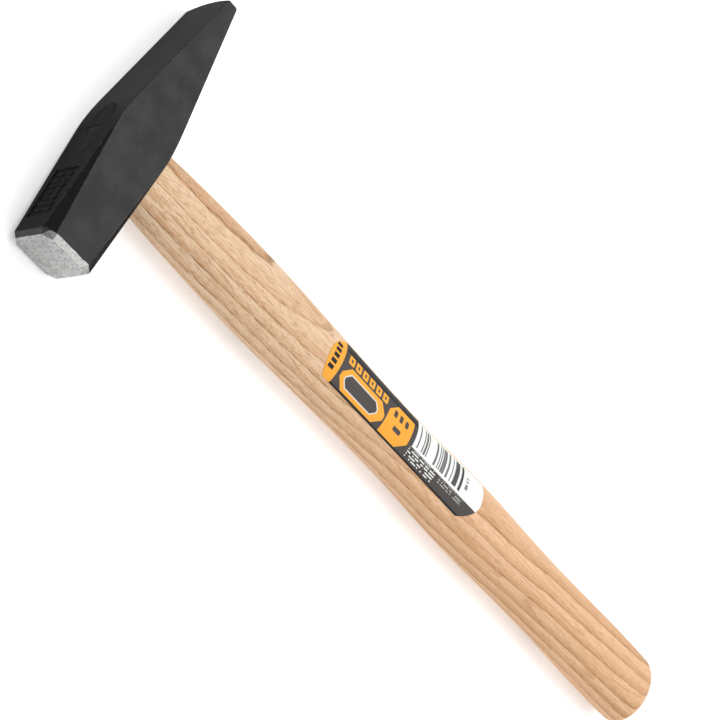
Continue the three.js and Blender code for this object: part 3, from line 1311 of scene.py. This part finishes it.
@dataclass
class Handle:
    """The oval ash handle: a grip that swells and narrows, and a tenon wedged in the eye."""

    head: Head
    wood: Ash = field(default_factory=Ash)
    fit: float = 0.01 * MM
    seat_round: float = 0.6 * MM
    seat_gap: float = 0.1 * MM
    dip_depth: float = 0.6 * MM
    into_grip: float = 3 * MM
    tenon_round: float = 0.08 * MM
    ground_off: float = 0.2 * MM
    dome: float = 5.5 * MM
    crease: float = 40
    outline: tuple[Pair, ...] = (
        (0.0, 0.819), (0.09, 0.921), (0.2, 0.969), (0.31, 0.929), (0.46, 0.89),
        (0.6, 0.976), (0.76, 0.937), (0.93, 1.0), (1.0, 0.984),
    )

    def __post_init__(self) -> None:
        """Takes the handle's place from the frame."""
        low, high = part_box("handle")
        self.top_x, self.butt_x = low.x + self.ground_off, high.x
        self.height, self.thickness = high.y, (high.z - low.z) / 2
        self.centre_z = (high.z + low.z) / 2
        self.shoulder_x = self.head.eye_half + self.seat_gap
        self.dip_x = self.dip_depth - self.head.eye_half

    def build(self, slots: Sequence[Piece]) -> Piece:
        """Builds and dresses the handle.

        Args:
            slots: The solids that cut its wedge slots, which are used up.

        Returns:
            The handle.
        """
        material = self.wood.material(self)
        grip = OvalLoft(self.outline).build("ash_handle", material, {
            "Start": self.shoulder_x, "Finish": self.butt_x,
            "Height": self.height, "Thickness": self.thickness,
            "Flare": 0.0, "Flare Reach": 1.0,
            "Lip": self.seat_round, "Dome": self.dome, "Centre Z": self.centre_z,
        })
        cuts = [("UNION", self.tenon("tenon", material)), *(("DIFFERENCE", slot) for slot in slots)]
        handle = carve(grip, cuts)
        smooth(handle, self.crease)
        dress(handle, material, "ash", "handle")
        return handle

    def tenon(self, name: str, material: Material) -> Piece:
        """The part that fills the eye and runs a little way into the grip.

        Args:
            name: The piece's name.
            material: Its finish.

        Returns:
            The tenon.
        """
        loft = OvalLoft(sides=96, rings=70, lip_share=0.08, dome_share=0.05)
        return loft.build(name, material, {
            "Start": self.top_x, "Finish": self.shoulder_x + self.into_grip,
            "Height": self.head.eye_height - self.fit, "Thickness": self.head.eye_thickness - self.fit,
            "Flare": self.head.eye_flare, "Flare Reach": self.head.eye_half,
            "Lip": self.tenon_round, "Dome": 0.0, "Centre Z": self.centre_z,
        })


@dataclass
class Wedges:
    """The wooden wedge along the eye, and the barbed steel wedge across it."""

    handle: Handle
    wood: WedgeWood = field(default_factory=WedgeWood)
    steel: WedgeSteel = field(default_factory=WedgeSteel)
    wood_tip: float = 0.8 * MM
    steel_tip: float = 0.7 * MM
    barbs: int = 7
    barb: float = 0.12 * MM
    steel_round: float = 0.08 * MM
    crease: float = 30
    sunk: float = 0.21 * MM
    past_sides: Point = (0, 6 * MM, 0)
    past_top: Point = (2 * MM, 0, 0)
    gap: float = 0.01 * MM

    def _taper(
        self, name: str, box: tuple[Vector, Vector], thick_axis: int, tip: float, grow: float, steps: int = 1
    ) -> Piece:
        """A tapered block, with barbed flanks if it has more than one step.

        Args:
            name: The piece's name.
            box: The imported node's corners.
            thick_axis: 1 where its thickness lies along Y, 2 along Z.
            tip: How thick it is at its tip.
            grow: How much larger it is all round.
            steps: The barbs down each flank.

        Returns:
            The block.
        """
        low, high = box
        middle = (low + high) / 2
        thickness_and_shade = (high - low)[thick_axis] / 2
        wide_axis = 3 - thick_axis
        wide = (high - low)[wide_axis] / 2 + grow
        flank = []
        for step in range(steps + 1):
            share = step / steps
            half = thickness_and_shade + (tip / 2 - thickness_and_shade) * share + grow
            depth = (low.x - grow) + (high.x - low.x + 2 * grow) * share
            flank.append((depth, half))
            if 0 < step < steps:
                flank.append((depth, half + self.barb))
        bm = bmesh.new()
        ends = []
        for side in (-1, 1):
            ring = []
            for sign, run in ((1, flank), (-1, flank[::-1])):
                for depth, half in run:
                    spot = Vector((depth, middle.y, middle.z))
                    spot[thick_axis] = middle[thick_axis] + sign * half
                    spot[wide_axis] = middle[wide_axis] + side * wide
                    ring.append(bm.verts.new(spot))
            ends.append(ring)
        skin(bm, ends)
        return from_bmesh(name, bm)

    def slots(self) -> list[Piece]:
        """The solids that cut the handle's two slots.

        Returns:
            The slot for the wooden wedge and the one for the steel wedge.
        """
        beyond, wide = Vector(self.past_top), Vector(self.past_sides)
        wood_low, wood_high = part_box("wooden_wedge")
        steel_low, steel_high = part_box("steel_wedge")
        wood = self._taper("wood_slot", (wood_low - wide, wood_high + wide), 2, self.wood_tip, self.gap)
        steel = self._taper("steel_slot", (steel_low, steel_high), 1, self.steel_tip, self.gap)
        for slot in (wood, steel):
            top = min(vertex.co.x for vertex in slot.data.vertices)
            for vertex in slot.data.vertices:
                if vertex.co.x < top + 0.01 * MM:
                    vertex.co -= beyond
        return [wood, steel]

    def build(self) -> None:
        """Builds and dresses both wedges."""
        dip_x = self.handle.dip_x
        wood_material = self.wood.material(dip_x)
        low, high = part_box("wooden_wedge")
        wide, sink = Vector(self.past_sides), Vector((self.sunk, 0, 0))
        blank = self._taper("wooden_wedge_fitted", (low - wide + sink, high + wide), 2, self.wood_tip, 0.0)
        cross_low, cross_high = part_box("steel_wedge")
        notch = self._taper("notch", (cross_low - sink, cross_high), 1, self.steel_tip, self.gap)
        wood = carve(blank, [("INTERSECT", self.handle.tenon("core", wood_material)), ("DIFFERENCE", notch)])
        smooth(wood, self.crease)
        dress(wood, wood_material, "wedge_wood", "wooden_wedge")
        cross = (cross_low + sink, cross_high)
        steel = self._taper("steel_wedge_barbed", cross, 1, self.steel_tip, -self.barb, self.barbs)
        steel = soften(steel, self.steel_round, self.crease)
        dress(steel, self.steel.material(dip_x), "wedge_steel", "steel_wedge")


@dataclass
class Label:
    """The printed film label wrapped part of the way round the grip."""

    handle: Piece
    centre_z: float
    lift: float = 0.03 * MM
    film: float = 0.09 * MM
    start_angle: float = math.radians(-31)
    end_angle: float = math.radians(50)
    start_corners: Pair = (2.5 * MM, 6.5 * MM)
    end_corners: Pair = (6.3 * MM, 0.6 * MM)
    columns: int = 120
    rows: int = 40
    ratio: float = 0.72
    well_outside: float = 40 * MM
    crease: float = 40

    def build(self) -> None:
        """Builds and dresses the label."""
        low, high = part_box("label")
        self.handle.data.calc_loop_triangles()
        corners = [vertex.co.copy() for vertex in self.handle.data.vertices]
        faces = [tuple(triangle.vertices) for triangle in self.handle.data.loop_triangles]
        wood = BVHTree.FromPolygons(corners, faces)
        bm = bmesh.new()
        layer = bm.loops.layers.uv.new("label")
        grid = [[self._spot(wood, low.x, high.x, column / self.columns, row / self.rows)
                 for row in range(self.rows + 1)] for column in range(self.columns + 1)]
        verts = [[bm.verts.new(spot) for spot, _ in line] for line in grid]
        for i in range(self.columns):
            for j in range(self.rows):
                face = bm.faces.new((verts[i][j], verts[i + 1][j], verts[i + 1][j + 1], verts[i][j + 1]))
                for corner, (a, b) in zip(face.loops, ((i, j), (i + 1, j), (i + 1, j + 1), (i, j + 1))):
                    corner[layer].uv = grid[a][b][1]
        mesh = bpy.data.meshes.new("film_label")
        bm.normal_update()
        bm.to_mesh(mesh)
        bm.free()
        film = link("film_label_sheet", mesh)
        modifier = film.modifiers.new("film", "SOLIDIFY")
        modifier.thickness = self.film
        modifier.offset = 1.0
        label = settle(film, "film_label")
        label.data.shade_smooth()
        label.data.set_sharp_from_angle(angle=math.radians(self.crease))
        middle = [spot for spot, _ in grid[self.columns // 2]]
        wrap = sum((after - before).length for before, after in zip(middle, middle[1:]))
        dress(label, LabelPrint(high.x - low.x, wrap).material(), "label_print", "label")

    def _spot(
        self, wood: BVHTree, near: float, far: float, along: float, across: float
    ) -> tuple[Vector, Pair]:
        """One point of the label, laid on the wood.

        Args:
            wood: The handle's surface.
            near: Where the label starts.
            far: Where it ends.
            along: The share along it.
            across: The share across it.

        Returns:
            The point and its place on the label's map.
        """
        draw_in = (2 * across - 1) ** 2
        high_side = int(across > 0.5)
        first = near + self.start_corners[high_side] * draw_in
        last = far - self.end_corners[high_side] * draw_in
        x = first + (last - first) * along
        angle = self.start_angle + (self.end_angle - self.start_angle) * across
        out = Vector((0, math.sin(angle), self.ratio * math.cos(angle))).normalized()
        start = Vector((x, 0, self.centre_z)) + out * self.well_outside
        hit, normal, _, _ = wood.ray_cast(start, -out)
        return hit + normal * self.lift, ((x - near) / (far - near), across)


# ---------------------------------------------------------------- studio


@dataclass(frozen=True)
class Softbox:
    """A square light that faces the hammer."""

    name: str
    toward: Point
    distance: float
    size: float
    watts: float

    def build(self, aim: Vector) -> None:
        """Hangs the light.

        Args:
            aim: The point that it faces.
        """
        data = bpy.data.lights.new(self.name, "AREA")
        data.energy = self.watts
        data.size = self.size
        light = bpy.data.objects.new(self.name, data)
        out = Vector(self.toward)
        light.location = aim + out.normalized() * self.distance
        light.rotation_euler = out.to_track_quat("Z", "Y").to_euler()
        bpy.context.scene.collection.objects.link(light)


@dataclass
class Studio:
    """The table, the lights and the camera."""

    azimuth: float = -47.763
    elevation: float = 46.501
    roll: float = 85.713
    distance: float = 651.5 * MM
    lens: float = 108.39
    aim_share: Point = (0.4094, 0.5251, 0.4916)
    board: PaleBoard = field(default_factory=PaleBoard)
    table_size: float = 6.0
    table_drop: float = 0.1 * MM
    sky: Colour = (0.92, 0.94, 0.97)
    sky_strength: float = 0.32
    lights: tuple[Softbox, ...] = (
        Softbox("key_softbox", (0.18, 0.35, 0.95), 1.2, 2.2, 29.0),
        Softbox("fill_softbox", (0.4, -0.9, 0.6), 1.5, 1.2, 6.0),
    )

    def build(self) -> None:
        """Builds the table, the lights and the camera."""
        low, high = (Vector(corner) for corner in cad_box)
        self.aim = Vector(low[i] + (high[i] - low[i]) * self.aim_share[i] for i in range(3))
        self._camera()
        self._table()
        for light in self.lights:
            light.build(self.aim)
        world = bpy.data.worlds.new("studio")
        world.use_nodes = True
        background = world.node_tree.nodes["Background"]
        background.inputs["Color"].default_value = (*self.sky, 1)
        background.inputs["Strength"].default_value = self.sky_strength
        bpy.context.scene.world = world
        bpy.context.scene.view_settings.view_transform = "Standard"

    def _camera(self) -> None:
        """Aims the camera and makes it the scene's."""
        azimuth, elevation = math.radians(self.azimuth), math.radians(self.elevation)
        level = Vector((math.sin(azimuth), -math.cos(azimuth), 0)) * math.cos(elevation)
        back = level + Vector((0, 0, math.sin(elevation)))
        data = bpy.data.cameras.new("camera")
        data.lens = self.lens
        data.sensor_width = 36.0
        data.clip_start = 0.01
        camera = bpy.data.objects.new("camera", data)
        upright = back.to_track_quat("Z", "Y")
        turn = Euler((0, 0, math.radians(self.roll))).to_quaternion()
        camera.matrix_world = (upright @ turn).to_matrix().to_4x4()
        camera.location = self.aim + back * self.distance
        bpy.context.scene.collection.objects.link(camera)
        bpy.context.scene.camera = camera

    def _table(self) -> None:
        """A plain pale table under the hammer."""
        bm = bmesh.new()
        bmesh.ops.create_grid(bm, x_segments=4, y_segments=4, size=self.table_size / 2)
        for vertex in bm.verts:
            vertex.co.z = cad_box[0][2] - self.table_drop
        table = from_bmesh("table", bm)
        table.data.materials.append(self.board.material())


def main() -> None:
    """Builds the hammer piece by piece, then its studio."""
    logging.basicConfig(level=logging.INFO, format="%(message)s")
    head = Head()
    handle = Handle(head)
    wedges = Wedges(handle)
    head.build()
    ash = handle.build(wedges.slots())
    wedges.build()
    Label(ash, handle.centre_z).build()
    Studio().build()


if __name__ == "__main__":
    main()
